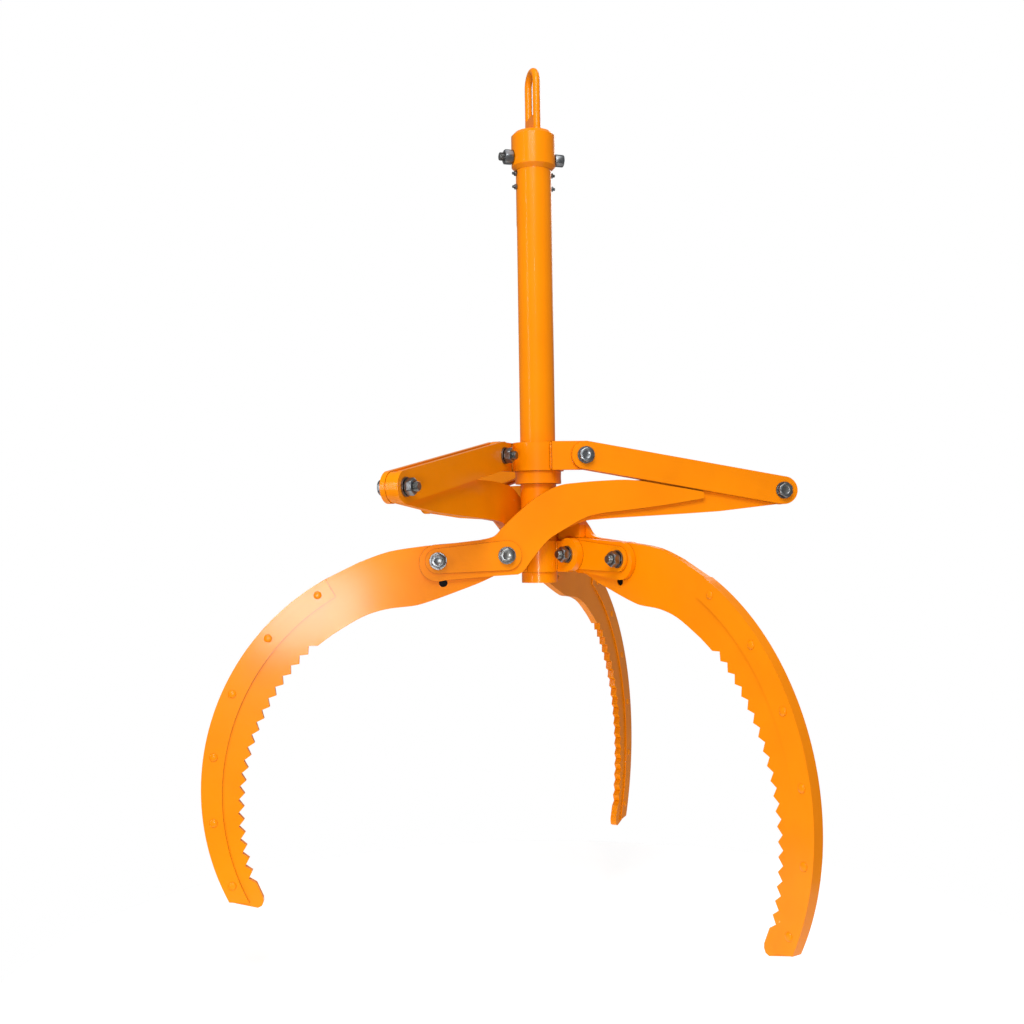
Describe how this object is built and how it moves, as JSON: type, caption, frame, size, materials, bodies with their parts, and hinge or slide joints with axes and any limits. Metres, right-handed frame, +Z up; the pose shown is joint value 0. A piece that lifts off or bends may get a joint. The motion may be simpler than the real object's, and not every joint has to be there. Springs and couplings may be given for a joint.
{
  "type": "stone grapple",
  "caption": "Hanging grapple whose toothed claws close round a boulder as the eye on its mast is pulled up.",
  "frame": {"origin": "centre of the mast foot's flat underside, on the mast axis", "axes": "+Z up along the mast to the lifting eye; +X to the right and +Y away, as pictured"},
  "size_m": [0.9772, 0.9508, 1.3755],
  "materials": {
    "orange_paint": "glossy orange paint",
    "zinc": "bright zinc plate",
    "bronze": "dull bronze bearing",
    "rod_steel": "ground steel"
  },
  "bodies": {
    "mast": {"mast_tube": "orange_paint", "mast_foot": "orange_paint", "pivot_hub": "orange_paint", "pivot_lugs": "orange_paint", "guide_bush": "bronze", "guide_screws": "zinc", "guide_nuts": "zinc"},
    "lift_head": {"lifting_eye": "orange_paint", "head_collar": "orange_paint", "head_bolt": "zinc", "head_nut": "zinc", "pull_rod": "rod_steel", "cross_pin": "rod_steel", "slide_hub": "orange_paint", "slide_ring": "orange_paint", "slide_bush": "bronze", "hub_arms": "orange_paint"},
    "claw_a": {"claw_a_blade": "orange_paint", "claw_a_strips": "orange_paint", "claw_a_rivets": "orange_paint", "claw_a_lever": "orange_paint", "claw_a_outer_cheek": "orange_paint", "claw_a_inner_cheek": "orange_paint", "claw_a_straps": "orange_paint", "claw_a_bolts": "zinc", "claw_a_nuts": "zinc", "claw_a_washers": "zinc"},
    "link_a": {"link_a_plates": "orange_paint", "link_a_bolts": "zinc", "link_a_nuts": "zinc", "link_a_washers": "zinc"},
    "claw_b": {"claw_b_blade": "orange_paint", "claw_b_strips": "orange_paint", "claw_b_rivets": "orange_paint", "claw_b_lever": "orange_paint", "claw_b_outer_cheek": "orange_paint", "claw_b_inner_cheek": "orange_paint", "claw_b_straps": "orange_paint", "claw_b_bolts": "zinc", "claw_b_nuts": "zinc", "claw_b_washers": "zinc"},
    "link_b": {"link_b_plates": "orange_paint", "link_b_bolts": "zinc", "link_b_nuts": "zinc", "link_b_washers": "zinc"},
    "claw_c": {"claw_c_blade": "orange_paint", "claw_c_strips": "orange_paint", "claw_c_rivets": "orange_paint", "claw_c_lever": "orange_paint", "claw_c_outer_cheek": "orange_paint", "claw_c_inner_cheek": "orange_paint", "claw_c_straps": "orange_paint", "claw_c_bolts": "zinc", "claw_c_nuts": "zinc", "claw_c_washers": "zinc"},
    "link_c": {"link_c_plates": "orange_paint", "link_c_bolts": "zinc", "link_c_nuts": "zinc", "link_c_washers": "zinc"}
  },
  "joints": [
    {"name": "lift", "type": "slide", "parent": "mast", "child": "lift_head", "axis": [0, 0, 1], "range_m": [0, 0.42]},
    {"name": "claw_a_pivot", "type": "hinge", "parent": "mast", "child": "claw_a", "pos_m": [-0.05482, -0.04894, 0.0467], "axis": [0.1201, -0.9928, 0], "range_deg": [0, 30]},
    {"name": "link_a_pivot", "type": "hinge", "parent": "claw_a", "child": "link_a", "pos_m": [0.40761, 0.00702, 0.148], "axis": [-0.1201, 0.9928, 0], "range_deg": [0, 67.7]},
    {"name": "claw_b_pivot", "type": "hinge", "parent": "mast", "child": "claw_b", "pos_m": [0.06979, -0.023, 0.0467], "axis": [0.7997, 0.6004, 0], "range_deg": [0, 30]},
    {"name": "link_b_pivot", "type": "hinge", "parent": "claw_b", "child": "link_b", "pos_m": [-0.20988, 0.34949, 0.148], "axis": [-0.7997, -0.6004, 0], "range_deg": [0, 67.7]},
    {"name": "claw_c_pivot", "type": "hinge", "parent": "mast", "child": "claw_c", "pos_m": [-0.01497, 0.07194, 0.0467], "axis": [-0.9198, 0.3923, 0], "range_deg": [0, 30]},
    {"name": "link_c_pivot", "type": "hinge", "parent": "claw_c", "child": "link_c", "pos_m": [-0.19773, -0.35651, 0.148], "axis": [0.9198, -0.3923, 0], "range_deg": [0, 67.7]}
  ],
  "couplings": [
    {"joint": "claw_a_pivot", "follows": "lift", "rad_per_m": 1.2416},
    {"joint": "link_a_pivot", "follows": "lift", "rad_per_m": 2.8101},
    {"joint": "claw_b_pivot", "follows": "lift", "rad_per_m": 1.2416},
    {"joint": "link_b_pivot", "follows": "lift", "rad_per_m": 2.8101},
    {"joint": "claw_c_pivot", "follows": "lift", "rad_per_m": 1.2416},
    {"joint": "link_c_pivot", "follows": "lift", "rad_per_m": 2.8101}
  ]
}
